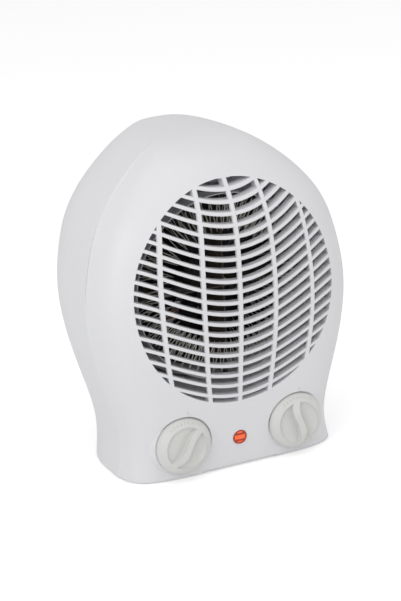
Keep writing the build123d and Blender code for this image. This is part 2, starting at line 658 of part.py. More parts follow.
def build():
    os.makedirs("parts", exist_ok=True)
    outer = casing_form()
    inner = casing_form(WALL)
    deep = casing_form(GRILLE_DEPTH)
    write(front_casing(outer, inner, deep), "front_casing")
    write(rear_casing(outer, inner), "rear_casing")
    write(knob(-KNOB_X, SELECTOR_TURN), "selector_knob")
    write(knob(KNOB_X, 0), "thermostat_knob")
    write(spindle(-KNOB_X, SELECTOR_TURN, CONTROL_PAD_Y + 11), "selector_spindle")
    write(spindle(KNOB_X, 0, CONTROL_PAD_Y + 6.7), "thermostat_spindle")
    case, blades = selector_switch()
    write(case, "selector_switch")
    write(Compound(blades), "selector_terminals")
    for shape, name in zip(thermostat(), ("frame", "stack", "bimetal", "contact")):
        write(shape, f"thermostat_{name}")
    for shape, name in zip(lamp(), ("lamp_lens", "neon_bulb", "lamp_ring")):
        write(shape, name)
    level, upright, slots = mica_plates()
    write(level, "mica_plate_level")
    write(upright, "mica_plate_upright")
    write(heater_shroud(slots), "heater_shroud")
    write(fan_duct(), "fan_duct")
    write(heating_coil(MICA_FRONT_Y - COIL_WIRE, 0), "heating_coil_front")
    write(heating_coil(MICA_REAR_Y, pi / COIL_TEETH), "heating_coil_rear")
    write(thermal_cutout(), "thermal_cutout")
    write(thermal_fuse(), "thermal_fuse")
    write(impeller(), "impeller")
    write(Pos(0, 0, FAN_Z) * rod(SHAFT_RADIUS, HUB_FRONT_Y + 6.5, 57), "motor_shaft")
    write(rotor(), "motor_rotor")
    for shape, name in zip(stator(), ("stator_core", "coil_bobbin", "coil_winding")):
        write(shape, name)
    write(bridge(DUCT_REAR_Y, CORE_FRONT_Y, FRONT_BEARING_Y), "front_bearing_bridge")
    write(bridge(51, CORE_REAR_Y, REAR_BEARING_Y), "rear_bearing_bridge")
    write(bearing(FRONT_BEARING_Y), "front_bearing")
    write(bearing(REAR_BEARING_Y), "rear_bearing")
    write(Compound(casing_screws()), "casing_screws")
    write(Compound(duct_screws()), "duct_screws")
    write(Compound(motor_screws()), "motor_screws")
    write(Compound(control_screws()), "control_screws")
    write(Compound(rubber_feet()), "rubber_feet")
    write(cable_inlet_bush(), "cable_inlet_bush")


build()
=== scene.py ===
"""Upright fan heater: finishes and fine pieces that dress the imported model, and the studio it stands in."""

import json
import logging
import math
from collections.abc import Sequence
from dataclasses import dataclass, field
from enum import Enum
from itertools import product

import bmesh
import bpy
from bmesh.types import BMesh
from bpy.types import ID, Material, Mesh, Node, NodeSocket, NodeTree, Object
from mathutils import Matrix, Vector
from mathutils.bvhtree import BVHTree
from mathutils.interpolate import poly_3d_calc

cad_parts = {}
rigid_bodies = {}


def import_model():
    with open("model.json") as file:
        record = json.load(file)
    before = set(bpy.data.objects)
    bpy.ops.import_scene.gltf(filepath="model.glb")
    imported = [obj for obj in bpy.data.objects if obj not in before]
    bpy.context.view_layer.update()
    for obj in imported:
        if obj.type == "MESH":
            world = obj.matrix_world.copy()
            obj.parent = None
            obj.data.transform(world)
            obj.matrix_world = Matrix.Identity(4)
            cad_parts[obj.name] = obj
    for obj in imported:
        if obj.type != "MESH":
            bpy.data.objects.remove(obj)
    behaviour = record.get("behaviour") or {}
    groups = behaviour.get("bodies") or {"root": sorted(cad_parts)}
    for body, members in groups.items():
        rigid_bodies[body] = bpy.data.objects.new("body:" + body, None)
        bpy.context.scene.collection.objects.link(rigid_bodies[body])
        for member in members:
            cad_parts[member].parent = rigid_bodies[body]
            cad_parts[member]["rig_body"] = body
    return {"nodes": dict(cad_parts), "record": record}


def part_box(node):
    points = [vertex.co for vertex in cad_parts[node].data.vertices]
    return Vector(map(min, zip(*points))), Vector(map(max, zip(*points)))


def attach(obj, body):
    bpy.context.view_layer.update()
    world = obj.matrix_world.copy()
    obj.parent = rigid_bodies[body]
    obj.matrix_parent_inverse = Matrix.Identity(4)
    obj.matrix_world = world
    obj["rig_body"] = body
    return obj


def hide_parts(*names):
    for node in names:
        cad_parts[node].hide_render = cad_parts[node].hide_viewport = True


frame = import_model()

log = logging.getLogger("fan_heater")

MM = 0.001
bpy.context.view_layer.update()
# the ways in which a line looks for a surface
REARWARDS, FORWARDS = Vector((0, 1, 0)), Vector((0, -1, 0))
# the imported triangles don't share corners, and corners that are closer than this are one
JOIN_MM = 0.002
# edges of a small piece that turn more than this stay sharp
SMALL_CREASE_DEG = 35.0
# the faces of a block whose corners are counted by side, end and depth
BLOCK_FACES = (0, 1, 3, 2), (4, 6, 7, 5), (0, 4, 5, 1), (2, 3, 7, 6), (0, 2, 6, 4), (1, 5, 7, 3)


# Colours, nodes and meshes

def linear(hex_colour: str) -> tuple[float, float, float, float]:
    """Turns an sRGB colour into the linear one that Blender works in.

    Args:
        hex_colour: six hex digits, red first.

    Returns:
        Linear red, green and blue, with full opacity.
    """
    parts = (int(hex_colour[start:start + 2], 16) / 255 for start in (0, 2, 4))
    return (*(part / 12.92 if part <= 0.04045 else ((part + 0.055) / 1.055) ** 2.4 for part in parts), 1.0)


def add(tree: NodeTree, kind: str, inputs: dict | None = None, **settings: object) -> Node:
    """Adds a node, sets its properties, and fills its inputs with values or links.

    Args:
        tree: the shader or geometry tree that gets the node.
        kind: the node's type name.
        inputs: by name or number, a value, an output socket, or a node whose first output is linked.
        settings: the node's own properties.

    Returns:
        The new node.
    """
    made = tree.nodes.new(kind)
    for name, value in settings.items():
        setattr(made, name, value)
    for key, value in (inputs or {}).items():
        source = value.outputs[0] if isinstance(value, Node) else value
        if isinstance(source, NodeSocket):
            tree.links.new(source, made.inputs[key])
        else:
            made.inputs[key].default_value = source
    return made


def link_object(name: str, data: ID) -> Object:
    """Puts a mesh, a lamp or a camera in the scene.

    Args:
        name: the new object's name.
        data: what it shows.

    Returns:
        The object, at the origin.
    """
    made = bpy.data.objects.new(name, data)
    bpy.context.scene.collection.objects.link(made)
    return made


def end_form(form: BMesh, name: str) -> Object:
    """Turns a form that is ready into an object of the scene.

    Args:
        form: the form, which is freed.
        name: the new object's name.

    Returns:
        The object, at the origin.
    """
    mesh = bpy.data.meshes.new(name)
    form.to_mesh(mesh)
    form.free()
    return link_object(name, mesh)


def apply_modifiers(piece: Object) -> None:
    """Gives a piece the plain mesh that its modifiers make, and takes them off."""
    piece.data = bpy.data.meshes.new_from_object(piece.evaluated_get(bpy.context.evaluated_depsgraph_get()))
    piece.modifiers.clear()


def wear(piece: Object, material: Material) -> None:
    """Gives a whole piece one material."""
    piece.data.materials.clear()
    piece.data.materials.append(material)


def surface_of(mesh: Mesh) -> BVHTree:
    """Builds the search tree of a mesh's surface."""
    places = [vertex.co for vertex in mesh.vertices]
    return BVHTree.FromPolygons(places, [face.vertices for face in mesh.polygons])


def seen_in_front(surface: BVHTree, x: float, z: float) -> tuple[Vector | None, Vector | None]:
    """Finds the place and normal of a surface where a line from the front first meets it."""
    return surface.ray_cast(Vector((x, -1, z)), REARWARDS)[:2]


def soften(mesh: Mesh, crease_deg: float, join_mm: float = 0.0) -> None:
    """Makes a mesh smooth but for its real edges.

    Args:
        mesh: the mesh to change.
        crease_deg: edges that turn more than this stay sharp.
        join_mm: corners that are closer than this become one.
    """
    form = bmesh.new()
    form.from_mesh(mesh)
    bmesh.ops.remove_doubles(form, verts=form.verts, dist=join_mm * MM)
    for face in form.faces:
        face.smooth = True
    for edge in form.edges:
        edge.smooth = len(edge.link_faces) == 2 and edge.calc_face_angle(0) < math.radians(crease_deg)
    form.to_mesh(mesh)
    form.free()


def smooth_copy(node: str, name: str, crease_deg: float) -> Object:
    """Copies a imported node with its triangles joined, smooth but for its real edges.

    Args:
        node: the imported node.
        name: the new piece's name.
        crease_deg: edges that turn more than this stay sharp.

    Returns:
        The copy, which rides on the node's body and stands for the node.
    """
    mesh = frame["nodes"][node].data.copy()
    for attribute in ("custom_normal", "sharp_face", "sharp_edge"):
        if attribute in mesh.attributes:
            mesh.attributes.remove(mesh.attributes[attribute])
    soften(mesh, crease_deg, JOIN_MM)
    piece = link_object(name, mesh)
    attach(piece, frame["nodes"][node]["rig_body"])
    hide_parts(node)
    return piece


def solid_boxes(node: str) -> list[tuple[Vector, Vector]]:
    """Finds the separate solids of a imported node.

    Args:
        node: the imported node.

    Returns:
        The lowest and highest corner of each solid, in the order of their places.
    """
    form = bmesh.new()
    form.from_mesh(frame["nodes"][node].data)
    bmesh.ops.remove_doubles(form, verts=form.verts, dist=JOIN_MM * MM)
    left = set(form.verts)
    boxes = []
    while left:
        to_visit = [left.pop()]
        places = []
        while to_visit:
            vertex = to_visit.pop()
            places.append(vertex.co.copy())
            beside = {edge.other_vert(vertex) for edge in vertex.link_edges} & left
            left -= beside
            to_visit.extend(beside)
        boxes.append((Vector(map(min, *places)), Vector(map(max, *places))))
    form.free()
    # a set gives its members in another order on each run, so the solids are put in one that stays
    return sorted(boxes, key=lambda box: tuple(box[0]))


# Finishes

class Pattern(Enum):
    """What the surface of a material shows close up."""

    GRAIN = "fine sparked grain of a moulding tool"
    BRUSHED = "drawn or rolled lines along one direction"
    SPANGLE = "crystal patches of zinc plating"
    LAMINATED = "edges of stacked sheets"
    WOUND = "turns of fine wire side by side"
    FLECKED = "flakes and speckles in a pressed board"


@dataclass(frozen=True)
class Finish:
    """One real material and how its surface was made.

    Args:
        name: common name of the material and its making.
        colour: its sRGB colour.
        second: the sRGB colour of its lines, flecks or patches.
        roughness: from a mirror at 0 to chalk at 1.
        metallic: 1 for a bare metal.
        ior: index of refraction, which a metal leaves at the default.
        pattern: what the surface shows close up.
        scale_mm: the real size of one grain, line, sheet or patch.
        relief_mm: how deep the pattern is.
        clear: share of the light that goes through.
        glow: light it gives off.
        edge_mm: radius that the moulding tool leaves on every edge.
    """

    name: str
    colour: str
    second: str
    roughness: float
    metallic: float = 0.0
    ior: float = 1.5
    pattern: Pattern = Pattern.GRAIN
    scale_mm: float = 0.5
    relief_mm: float = 0.01
    clear: float = 0.0
    glow: float = 0.0
    edge_mm: float = 0.0


FINISHES: dict[str, Finish] = {
    # ABS from a finely sparked tool: satin, with a soft broad highlight
    "casing_plastic": Finish("moulded_abs_white_grey", "DFDFE1", "DADADD", 0.42, scale_mm=0.7,
                             relief_mm=0.006, edge_mm=0.55),
    # the same plastic in a warmer grey, a little more matt
    "knob_plastic": Finish("moulded_abs_warm_grey", "D5D5D2", "D0D0CD", 0.45, scale_mm=0.6, relief_mm=0.008,
                           edge_mm=1.3),
    # natural nylon: cream and waxy
    "spindle_plastic": Finish("moulded_nylon_natural", "DAD5C8", "D2CCBC", 0.45, ior=1.53),
    # phenolic: hard and dark, with a dull gloss
    "switch_plastic": Finish("moulded_phenolic", "26262A", "2E2E32", 0.38, ior=1.6),
    # glass-filled nylon: black, matt, with a faint fibre grain
    "black_plastic": Finish("moulded_glass_filled_nylon", "141416", "1C1C1F", 0.55, ior=1.53, scale_mm=0.9,
                            relief_mm=0.02),
    # the natural nylon, yellowed and duller where it has been warm
    "bobbin_plastic": Finish("moulded_nylon_bobbin", "D8D2BE", "CFC8B2", 0.5, ior=1.53),
    # clear orange-red polycarbonate: glossy, and it glows a little
    "lamp_amber": Finish("moulded_polycarbonate_orange", "FF7034", "FA5A30", 0.16, ior=1.58, scale_mm=2.0,
                         glow=0.16),
    # the same plastic, painted a darker red as shade on the thick rim and on the ribs, where little light
    # comes through
    "lamp_amber_painted_shade": Finish("moulded_polycarbonate_painted_shade", "B03A20", "A02E1A", 0.2, ior=1.58, scale_mm=2.0),
    # thin blown glass: mostly clear, with a sharp highlight
    "bulb_glass": Finish("neon_bulb_glass", "E8C8A8", "E0BC98", 0.08, clear=0.6),
    # pressed mica board: dark brown flakes in a resin, painted darker still as shade, so that the heater's
    # shaded inside looks near black
    "mica": Finish("pressed_mica_board_painted_shade", "2C2822", "4A443A", 0.45, ior=1.58, pattern=Pattern.FLECKED,
                   scale_mm=1.6, relief_mm=0.02),
    # unglazed steatite: chalky cream with fine specks
    "ceramic": Finish("fired_steatite", "E2DDCF", "D4CDBB", 0.6, ior=1.6, pattern=Pattern.FLECKED,
                      scale_mm=0.8),
    # drawn nickel chrome wire: bright, greyer where it has been hot
    "resistance_wire": Finish("drawn_nickel_chrome", "E2DFD9", "C4C0B8", 0.45, metallic=1.0,
                              pattern=Pattern.BRUSHED, scale_mm=0.4, relief_mm=0.004),
    # zinc plated sheet: bluish grey, with faint crystal patches
    "plated_steel": Finish("zinc_plated_sheet", "B8BABD", "A3A6AA", 0.34, metallic=1.0,
                           pattern=Pattern.SPANGLE, scale_mm=4.0, relief_mm=0.004),
    # the same sheet, rough and hardly a mirror, painted pale as light so that the shroud's inside shows as a
    # lit grey wall
    "plated_steel_painted_light": Finish("zinc_plated_sheet_painted_light", "E4E5E7", "D6D7DA", 0.7, metallic=0.2,
                                pattern=Pattern.SPANGLE, scale_mm=4.0, relief_mm=0.004),
    # ground rod: the brightest metal, with fine lines
    "bright_steel": Finish("ground_steel", "C4C5C8", "B4B5B8", 0.22, metallic=1.0, pattern=Pattern.BRUSHED,
                           relief_mm=0.003),
    # stacked silicon steel sheets of 0.5 mm, drawn at 1 mm so that their edges show
    "motor_steel": Finish("stacked_silicon_steel", "6E6F73", "4A4B4F", 0.45, metallic=1.0,
                          pattern=Pattern.LAMINATED, scale_mm=1.0, relief_mm=0.06),
    # zinc plated screws: as the sheet, with smaller patches
    "screw_steel": Finish("zinc_plated_screw", "B0B1B4", "9C9DA1", 0.3, metallic=1.0, pattern=Pattern.SPANGLE,
                          scale_mm=1.5, relief_mm=0.003),
    # rolled strip of two metals: a yellowish steel with lines from the mill
    "bimetal": Finish("rolled_bimetal_strip", "AFA48C", "9A8F78", 0.3, metallic=1.0, pattern=Pattern.BRUSHED,
                      relief_mm=0.004),
    # pressed sheet brass: yellow and fairly bright
    "brass": Finish("pressed_brass", "C9A75C", "B6944B", 0.28, metallic=1.0, pattern=Pattern.BRUSHED,
                    relief_mm=0.004),
    # sintered bronze: brown and dull, with pores that hold oil
    "sintered_bronze": Finish("sintered_bronze", "98744A", "7F5F3C", 0.5, metallic=1.0,
                              pattern=Pattern.FLECKED, scale_mm=0.4, relief_mm=0.02),
    # enamelled copper wire of 0.35 mm, drawn at 0.8 mm so that its turns show
    "copper": Finish("enamelled_copper_winding", "6E3E26", "452616", 0.34, metallic=1.0,
                     pattern=Pattern.WOUND, scale_mm=0.8, relief_mm=0.12),
    # moulded rubber: near black and matt
    "rubber": Finish("moulded_rubber", "1E1E20", "262628", 0.8, ior=1.52, scale_mm=0.8, relief_mm=0.02),
}

# imported nodes that wear another finish than their slot's: the shroud wears the pale sheet that paints light
# on its inside
NODE_FINISHES = {"heater_shroud": "plated_steel_painted_light"}

# how much further apart the changes are along a drawn or rolled line than across it
LINE_STRETCH = 20.0
# brings a fleck's distances up to the whole range from 0 to 1
FLECK_GAIN = 1.6
# a wave texture repeats every pi / 10 of its own units
WAVE_UNIT = math.pi / 10
# roughness wanders up and down by this share, over patches of this size, as handling leaves it
ROUGHNESS_SWING = 0.12
PATCH_MM = 40.0
BUMP_STRENGTH = 0.5
BEVEL_SAMPLES = 6


def pattern_height(tree: NodeTree, finish: Finish) -> NodeSocket:
    """Adds the nodes that draw a finish's pattern.

    Args:
        tree: the material's tree.
        finish: the finish, whose scale is a real size.

    Returns:
        The socket that gives the pattern, from 0 to 1.
    """
    place = add(tree, "ShaderNodeTexCoord").outputs["Object"]
    per_metre = 1 / (finish.scale_mm * MM)
    if finish.pattern is Pattern.GRAIN:
        made = add(tree, "ShaderNodeTexNoise", {"Vector": place, "Scale": per_metre, "Detail": 3.0})
        return made.outputs["Fac"]
    if finish.pattern is Pattern.BRUSHED:
        drawn = add(tree, "ShaderNodeMapping", {"Vector": place, "Scale": (1 / LINE_STRETCH, 1.0, 1.0)})
        made = add(tree, "ShaderNodeTexNoise", {"Vector": drawn, "Scale": per_metre, "Detail": 4.0})
        return made.outputs["Fac"]
    if finish.pattern in (Pattern.LAMINATED, Pattern.WOUND):
        across = "Y" if finish.pattern is Pattern.LAMINATED else "X"
        made = add(tree, "ShaderNodeTexWave", {"Vector": place, "Scale": per_metre * WAVE_UNIT},
                   bands_direction=across)
        return made.outputs["Fac"]
    cells = add(tree, "ShaderNodeTexVoronoi", {"Vector": place, "Scale": per_metre}).outputs
    if finish.pattern is Pattern.SPANGLE:
        return add(tree, "ShaderNodeSeparateColor", {"Color": cells["Color"]}).outputs["Red"]
    return add(tree, "ShaderNodeMath", {0: cells["Distance"], 1: FLECK_GAIN}, operation="MULTIPLY").outputs[0]


def material_of(finish: Finish) -> Material:
    """Builds the material of one finish.

    Args:
        finish: the finish to build.

    Returns:
        The new material.
    """
    made = bpy.data.materials.new(finish.name)
    made.use_nodes = True
    tree = made.node_tree
    tree.nodes.clear()
    height = pattern_height(tree, finish)
    place = add(tree, "ShaderNodeTexCoord").outputs["Object"]
    patches = add(tree, "ShaderNodeTexNoise", {"Vector": place, "Scale": 1 / (PATCH_MM * MM), "Detail": 2.0})
    colour = add(tree, "ShaderNodeMix", {0: height, 6: linear(finish.colour), 7: linear(finish.second)},
                 data_type="RGBA")
    rough = add(tree, "ShaderNodeMapRange", {
        "Value": patches.outputs["Fac"], "To Min": finish.roughness * (1 - ROUGHNESS_SWING),
        "To Max": min(1.0, finish.roughness * (1 + ROUGHNESS_SWING)),
    })
    bump = add(tree, "ShaderNodeBump", {"Height": height, "Strength": BUMP_STRENGTH,
                                        "Distance": finish.relief_mm * MM})
    if finish.edge_mm:
        soft = add(tree, "ShaderNodeBevel", {"Radius": finish.edge_mm * MM}, samples=BEVEL_SAMPLES)
        tree.links.new(soft.outputs[0], bump.inputs["Normal"])
    shader = add(tree, "ShaderNodeBsdfPrincipled", {
        "Base Color": colour.outputs[2], "Roughness": rough, "Normal": bump, "Metallic": finish.metallic,
        "IOR": finish.ior, "Transmission Weight": finish.clear, "Emission Strength": finish.glow,
        "Emission Color": linear(finish.colour),
    })
    add(tree, "ShaderNodeOutputMaterial", {"Surface": shader})
    return made


class Finishing:
    """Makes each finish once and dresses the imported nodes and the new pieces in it."""

    def __init__(self) -> None:
        """Builds the materials of all the record's slots."""
        self.materials = {slot: material_of(finish) for slot, finish in FINISHES.items()}
        self.slots = {row["node"]: row["material_slot"] for row in frame["record"]["subparts"]}

    def dress_nodes(self) -> None:
        """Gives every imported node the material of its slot."""
        for node, piece in frame["nodes"].items():
            material = self.materials[NODE_FINISHES.get(node, self.slots[node])]
            if not piece.material_slots:
                piece.data.materials.append(material)
            for place in piece.material_slots:
                place.material = material

    def dress(self, piece: Object, slot: str, finish: str = "") -> None:
        """Gives a new piece the finish of a slot, or the named variety of it."""
        wear(piece, self.materials[finish or slot])


# Geometry Nodes

class Rule:
    """A Geometry Nodes tree that makes one mesh from named sizes and a few places."""

    def __init__(self, name: str, **sizes: float) -> None:
        """Starts the tree with an input for the places and one named input for each size.

        Args:
            name: the tree's name.
            sizes: the inputs' names and values.
        """
        self.tree = bpy.data.node_groups.new(name, "GeometryNodeTree")
        for socket, way in (("Places", "INPUT"), ("Geometry", "OUTPUT")):
            self.tree.interface.new_socket(socket, in_out=way, socket_type="NodeSocketGeometry")
        self.values: dict[str, float] = {}
        for size, value in sizes.items():
            kind = "NodeSocketInt" if isinstance(value, int) else "NodeSocketFloat"
            socket = self.tree.interface.new_socket(size, in_out="INPUT", socket_type=kind)
            self.values[socket.identifier] = value
        self.inputs = add(self.tree, "NodeGroupInput").outputs

    def make(self, result: Node, name: str, material: Material, places: Sequence[Vector] = ()) -> Object:
        """Ends the tree, evaluates it, and keeps its mesh as a plain object.

        Args:
            result: the node that gives the finished geometry.
            name: the piece's name.
            material: what the piece is made of.
            places: the points that the tree sets things on.

        Returns:
            The piece, at the origin and without a modifier.
        """
        real = add(self.tree, "GeometryNodeRealizeInstances", {"Geometry": result})
        dressed = add(self.tree, "GeometryNodeSetMaterial", {"Geometry": real, "Material": material})
        add(self.tree, "NodeGroupOutput", {"Geometry": dressed})
        points = bpy.data.meshes.new(name)
        points.from_pydata([tuple(place) for place in places], [], [])
        piece = link_object(name, points)
        modifier = piece.modifiers.new("rule", "NODES")
        modifier.node_group = self.tree
        for identifier, value in self.values.items():
            modifier[identifier] = value
        apply_modifiers(piece)
        piece.data.shade_smooth()
        piece.data.set_sharp_from_angle(angle=math.radians(SMALL_CREASE_DEG))
        return piece


# Sub-assemblies

@dataclass
class SubAssembly:
    """Pieces that are made and dressed together.

    Args:
        finishing: what dresses them.
    """

    finishing: Finishing


@dataclass
class Outlet:
    """What lies behind the front grille's slats: shallow upright bars, and a collar round the shroud's mouth.

    Args:
        centre_mm: height of the oval's middle.
        half_mm: half width and half height of the oval.
        gap_mm: height of a gap between two slats, and from one gap to the next.
        lowest_gap_mm: height of the middle of the lowest gap, at the middle of the grille.
        gap_count: gaps from the foot to the top.
        sag_mm: how much a slat rises towards the sides, and how far out it would stand highest.
        bars_mm: where the upright bars stand, half way up.
        bow: how much they bow inwards, as a share of their place.
        bar_mm: width and thickness of a bar.
        pocket_mm: how far a pocket behind a bar reaches past its sides, how far it stays off the slats, and
            its depth.
        pocket_share: pockets stay within this share of the oval.
        probe_mm: how far beside its middle the lean of a bar's front is measured.
        mouth_mm: radius and depth of the collar's rear edge, where it meets the shroud's flange.
        collar_mm: how far past the oval's edge the collar starts, and its wall.
        overlap_mm: how far the collar's front sinks into the casing, and how far it stays behind its outside.
        lookout_mm: depth of a place in the heater from which the casing's inside is seen.
        collar_steps: places round the collar.
    """

    centre_mm: float = 134.0
    half_mm: tuple[float, float] = (77.7, 81.6)
    gap_mm: tuple[float, float] = (5.36, 7.96)
    lowest_gap_mm: float = 37.3
    gap_count: int = 23
    sag_mm: tuple[float, float] = (15.0, 100.0)
    bars_mm: tuple[float, ...] = (-59.0, -28.1, 0.0, 28.1, 59.0)
    bow: float = 0.17
    bar_mm: tuple[float, float] = (3.2, 2.2)
    pocket_mm: tuple[float, float, float] = (0.6, 0.08, 9.0)
    pocket_share: float = 0.98
    probe_mm: float = 1.2
    mouth_mm: tuple[float, float] = (77.0, -15.2)
    collar_mm: tuple[float, float] = (1.5, 1.2)
    overlap_mm: tuple[float, float] = (0.3, 1.8)
    lookout_mm: float = -30.0
    collar_steps: int = 120

    def thin_bars(self, shell: Object, surface: BVHTree) -> None:
        """Takes the rear of every upright bar away between the slats, so that only its front stands.

        Args:
            shell: the front moulding.
            surface: its surface.
        """
        form = bmesh.new()
        for place in self.bars_mm:
            for number in range(self.gap_count):
                self.pocket(form, surface, place, number)
        bmesh.ops.recalc_face_normals(form, faces=form.faces)
        pockets = end_form(form, "bar_pockets")
        cut = shell.modifiers.new("pockets", "BOOLEAN")
        cut.object, cut.operation, cut.solver = pockets, "DIFFERENCE", "EXACT"
        apply_modifiers(shell)
        bpy.data.objects.remove(pockets)

    def pocket(self, form: BMesh, surface: BVHTree, place: float, number: int) -> None:
        """Adds the block that is taken away behind one bar in one gap.

        Args:
            form: the mesh that gets the block.
            surface: the front casing's surface.
            place: the bar's place half way up.
            number: the gap, counted from the foot.
        """
        rise, half_wave = self.sag_mm
        x = place
        # the slat's height depends on the bar's place and the other way round, so they close in on each other
        for _ in range(3):
            z = self.lowest_gap_mm + number * self.gap_mm[1] + rise * (1 - math.cos(math.pi * x / half_wave))
            x = place * (1 - self.bow * ((z - self.centre_mm) / self.half_mm[1]) ** 2)
        beyond, short, deep = self.pocket_mm
        wide, high, thick = self.bar_mm[0] / 2 + beyond, self.gap_mm[0] / 2 - short, self.bar_mm[1]
        far = (abs(x) + wide) / self.half_mm[0], (abs(z - self.centre_mm) + high) / self.half_mm[1]
        if math.hypot(*far) > self.pocket_share:
            return
        step = self.probe_mm
        near = {}
        for across, up in ((0, 0), (step, 0), (-step, 0), (0, step), (0, -step)):
            hit, _ = seen_in_front(surface, (x + across) * MM, (z + up) * MM)
            if hit is None:
                return
            near[across, up] = hit.y / MM
        lean = (near[step, 0] - near[-step, 0]) / 2 / step, (near[0, step] - near[0, -step]) / 2 / step
        slope = rise * math.pi / half_wave * math.sin(math.pi * x / half_wave)
        corners = []
        for across, end, depth in product((-wide, wide), (-high, high), (thick, thick + deep)):
            up = slope * across + end
            y = near[0, 0] + lean[0] * across + lean[1] * up + depth
            corners.append(form.verts.new(((x + across) * MM, y * MM, (z + up) * MM)))
        for face in BLOCK_FACES:
            form.faces.new([corners[corner] for corner in face])

    def collar(self, surface: BVHTree) -> Object:
        """Makes the wall that runs back from the edge of the grille to the shroud's flange.

        Args:
            surface: the front casing's surface.

        Returns:
            The collar.
        """
        past, wall = (size * MM for size in self.collar_mm)
        mouth, rear = (size * MM for size in self.mouth_mm)
        sunk, skin = (size * MM for size in self.overlap_mm)
        middle, lookout = self.centre_mm * MM, self.lookout_mm * MM
        form = bmesh.new()
        rings = []
        for step in range(self.collar_steps):
            turn = math.tau * step / self.collar_steps
            x = (self.half_mm[0] * MM + past) * math.cos(turn)
            up = (self.half_mm[1] * MM + past) * math.sin(turn)
            inside = surface.ray_cast(Vector((x, lookout, middle + up)), FORWARDS)[0].y
            outside = seen_in_front(surface, x, middle + up)[0].y
            # a screw post hides the inner face in places, and there the outer one sets the limit
            front = max(inside - sunk, outside + skin)
            reach = math.hypot(x, up)
            outline = ((1, front), (mouth / reach, rear), ((mouth + wall) / reach, rear),
                       (1 + wall / reach, front))
            rings.append([form.verts.new((x * share, y, middle + up * share)) for share, y in outline])
        for one, other in zip(rings, rings[1:] + rings[:1]):
            for corner in range(4):
                after = (corner + 1) % 4
                form.faces.new((one[corner], one[after], other[after], other[corner]))
        bmesh.ops.recalc_face_normals(form, faces=form.faces)
        piece = end_form(form, "outlet_collar")
        soften(piece.data, SMALL_CREASE_DEG)
        return piece


@dataclass
class Casing(SubAssembly):
    """Front and rear mouldings, what lies behind the grille, and the marks above the knobs.

    Args:
        crease_deg: edges that turn more than this stay sharp.
        outlet: the forms behind the front grille.
        intake_mm: radius of the intake grille, how deep its inner edges lie at least, and how far they drop.
        intake_from_mm: depth behind which the intake grille lies.
        louvre_probe_mm: how far above and below a corner the louvre's outside is looked for.
        seam_from_mm: how far back the parting line starts.
        seam_reach_mm: shells that are closer than this count as touching.
        seam_likeness: cosine of the angle below which two normals are made one.
        marks_mm: the side that each mark above a knob stands on, and its place across.
        mark_height_mm: the height of their middle.
        mark_size_mm: their width, height and how far they stand out.
    """

    crease_deg: float = 28.0
    outlet: Outlet = field(default_factory=Outlet)
    intake_mm: tuple[float, float, float] = (54.8, 1.2, 2.9)
    intake_from_mm: float = 60.0
    louvre_probe_mm: float = 1.5
    seam_from_mm: float = 40.0
    seam_reach_mm: float = 0.25
    seam_likeness: float = 0.9
    marks_mm: tuple[tuple[str, float], ...] = (("left", -41.6), ("right", 48.6))
    mark_height_mm: float = 51.3
    mark_size_mm: tuple[float, float, float] = (1.0, 2.4, 0.25)

    def build(self) -> list[Object]:
        """Makes the casing's pieces.

        Returns:
            The new pieces.
        """
        shells = [smooth_copy(node, f"{node}_moulding", self.crease_deg)
                  for node in ("front_casing", "rear_casing")]
        front, rear = shells
        surface = surface_of(front.data)
        self.outlet.thin_bars(front, surface)
        self.slope_louvres(rear)
        for shell in shells:
            soften(shell.data, self.crease_deg)
        self.match_shading(front, rear)
        others = [self.outlet.collar(surface)]
        others += [self.mark(side, place * MM, surface) for side, place in self.marks_mm]
        for piece in others:
            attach(piece, "heater")
        for piece in shells + others:
            self.finishing.dress(piece, "casing_plastic")
        return shells + others

    def slope_louvres(self, rear: Object) -> None:
        """Drops the inner edges of the intake slots, so that nobody sees straight through the heater.

        Args:
            rear: the rear moulding.
        """
        radius, depth, drop = (size * MM for size in self.intake_mm)
        probe = self.louvre_probe_mm * MM
        surface = surface_of(rear.data)
        for vertex in rear.data.vertices:
            x, y, z = vertex.co
            if y > self.intake_from_mm * MM and math.hypot(x, z - self.outlet.centre_mm * MM) < radius:
                hits = [surface.ray_cast(Vector((x, 1, z + step)), FORWARDS)[0] for step in (-probe, probe)]
                if y < max((hit.y for hit in hits if hit), default=y) - depth:
                    vertex.co.z -= drop

    def match_shading(self, *shells: Object) -> None:
        """Gives two shells the same normals where their outsides meet, so that they shade as one form.

        Args:
            shells: the two mouldings.
        """
        trees = [surface_of(shell.data) for shell in shells]
        corners = [[corner.vector.copy() for corner in shell.data.corner_normals] for shell in shells]
        for this, other in ((0, 1), (1, 0)):
            mesh, beside = shells[this].data, shells[other].data
            mixed = list(corners[this])
            for number, (loop, mine) in enumerate(zip(mesh.loops, corners[this])):
                place = mesh.vertices[loop.vertex_index].co
                if place.y < self.seam_from_mm * MM:
                    continue
                for near, _, face, _ in trees[other].find_nearest_range(place, self.seam_reach_mm * MM):
                    polygon = beside.polygons[face]
                    weights = poly_3d_calc([beside.vertices[vertex].co for vertex in polygon.vertices], near)
                    weighed = zip(polygon.loop_indices, weights)
                    twin = sum((corners[other][corner] * weight for corner, weight in weighed), Vector())
                    if twin.normalized().dot(mine) > self.seam_likeness:
                        mixed[number] = (mine + twin.normalized()).normalized()
                        break
            mesh.normals_split_custom_set(mixed)

    def mark(self, side: str, place: float, surface: BVHTree) -> Object:
        """Makes one small raised mark that a knob is read against.

        Args:
            side: the side it stands on.
            place: its place across, in metres.
            surface: the front casing's surface.

        Returns:
            The mark, set on the casing.
        """
        wide, high, proud = (size * MM for size in self.mark_size_mm)
        form = bmesh.new()
        bmesh.ops.create_cube(form, size=1)
        for corner in form.verts:
            x, z = place + corner.co.x * wide, self.mark_height_mm * MM + corner.co.z * high
            face, _ = seen_in_front(surface, x, z)
            corner.co = Vector((x, face.y + (-proud if corner.co.y < 0 else proud), z))
        bmesh.ops.bevel(form, geom=form.edges[:], offset=proud / 2, segments=2, affect="EDGES")
        return end_form(form, f"knob_mark_{side}")


